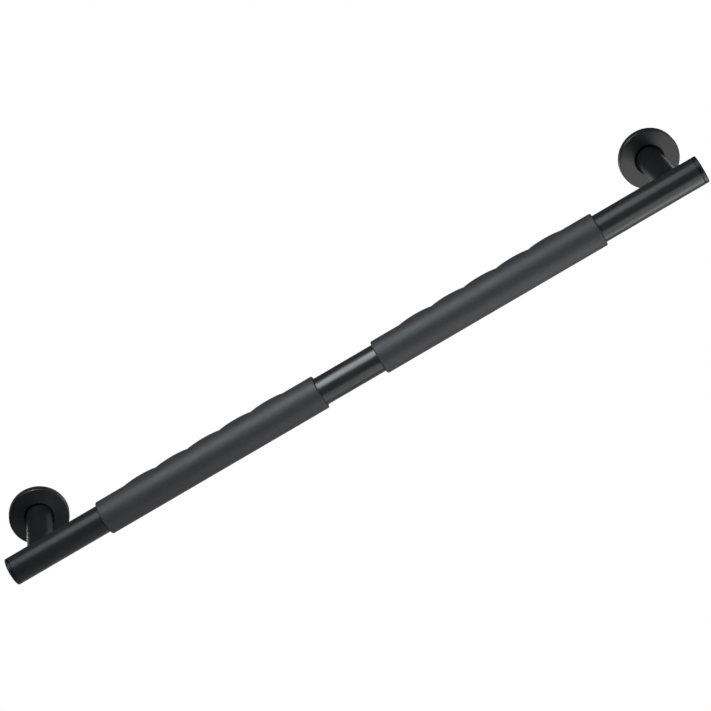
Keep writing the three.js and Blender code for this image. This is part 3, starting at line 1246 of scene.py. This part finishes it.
@dataclass
class Studio:
    """White floor well below the bar, and soft lamps on all sides.

    A narrow strip hangs in a wide canopy overhead, panels stand low in front on the right, whose light fades
    towards the left end, and others light the back and the two ends.
    """

    floor_level: float = -2.0
    floor_radius: float = 14.0
    floor_rings: int = 24
    floor_columns: int = 96
    floor_grey: float = 0.86
    mottle_size: float = 0.4
    mottle_shade: float = 0.985
    room_light: float = 0.03
    backdrop_light: float = 1.0
    lamps: Tuple[SoftLight, ...] = (
        SoftLight("strip", (-0.08, -0.60, 1.35), (-0.08, -0.60, 0.0), 0.28, 1.20, 12.2, (0.91, 1.0, 1.06)),
        SoftLight("canopy", (-0.08, -0.58, 1.37), (-0.08, -0.58, 0.0), 1.45, 1.25, 9.8, (0.96, 1.0, 1.03)),
        SoftLight("low_middle", (0.05, -0.88, -0.80), (0.0, -0.11, 0.0), 0.7, 1.3, 4.2),
        SoftLight("low_right", (0.68, -0.66, -0.92), (0.45, -0.11, 0.0), 0.5, 1.3, 6.1),
        SoftLight("front_fill", (0.48, -1.60, -0.58), (0.30, -0.05, 0.0), 0.75, 0.5, 1.5),
        SoftLight("back_rim", (-0.60, 2.20, -0.50), (0.0, -0.11, 0.0), 2.4, 1.0, 2.6),
        SoftLight("back_left", (-2.0, 1.8, -0.5), (-0.1, -0.05, 0.0), 1.0, 1.0, 24.0),
        SoftLight("back_right", (2.0, 1.8, -0.5), (0.1, -0.05, 0.0), 1.0, 1.0, 14.0),
        SoftLight("left_side", (-2.0, -0.3, 0.4), (-0.4, -0.05, 0.0), 0.8, 0.8, 1.6),
        SoftLight("right_side", (2.0, -0.3, 0.4), (0.4, -0.05, 0.0), 0.8, 0.8, 1.6),
    )

    def build(self) -> None:
        """Lays the floor, lights the room and hangs the lamps."""
        self._lay_floor()
        self._light_room()
        for lamp in self.lamps:
            lamp.hang()
        bpy.context.scene.view_settings.view_transform = "Standard"

    def _lay_floor(self) -> None:
        """A disc of rings: radius grows as the square of the share, so that the middle is finer."""
        share = np.linspace(0, 1, self.floor_rings)[:, None]
        angle = turn_angles(self.floor_columns)
        radius = share**2 * self.floor_radius
        level = np.full_like(radius * angle, self.floor_level)
        points = np.stack([radius * np.cos(angle), radius * np.sin(angle), level], -1)
        uv = np.zeros((self.floor_rings + 1, self.floor_columns + 1, 2))
        floor = grid_mesh("floor", points, uv, close_rows=False)
        floor.data.materials.append(self._floor_paint())

    def _floor_paint(self) -> bpy.types.Material:
        """Matt pale paint, seen as plain white."""
        sheet = Sheet(bpy.data.materials.new("floor_paint"))
        pale = (self.floor_grey,) * 3
        shaded = (self.mottle_shade * self.floor_grey,) * 3
        mottle = sheet.noise(self.mottle_size, detail=3)
        paint = sheet.node("ShaderNodeBsdfDiffuse", {}, {"Color": sheet.blend(mottle, pale, shaded)})
        white = sheet.node("ShaderNodeEmission", {}, {})
        mixed = sheet.node("ShaderNodeMixShader", {}, {0: sheet.seen(), 1: paint, 2: white})
        return sheet.close("ShaderNodeOutputMaterial", mixed)

    def _light_room(self) -> None:
        """Hardly any room light, with a white backdrop behind everything."""
        sheet = Sheet(bpy.data.worlds.new("room"))
        inputs = {"Value": sheet.seen(), "To Min": self.room_light, "To Max": self.backdrop_light}
        strength = sheet.node("ShaderNodeMapRange", {}, inputs)
        glow = sheet.node("ShaderNodeBackground", {}, {"Color": (1.0, 1.0, 1.0, 1.0), "Strength": strength})
        bpy.context.scene.world = sheet.close("ShaderNodeOutputWorld", glow)


def main() -> None:
    """Builds every sub-assembly in order, then the studio, and logs how many pieces were made."""
    logging.basicConfig(level=logging.INFO, format="%(name)s: %(message)s")
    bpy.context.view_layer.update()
    tube = BarTube()
    StudioCamera().set_up(tube.middle)
    shop = Workshop()
    tube.build(shop)
    for side in Side:
        EndCap(side, tube).build(shop)
        GripSleeve(side, tube).build(shop)
        Bracket(side, tube).build(shop)
    Studio().build()
    log.info("%d pieces", shop.count)


if __name__ == "__main__":
    main()
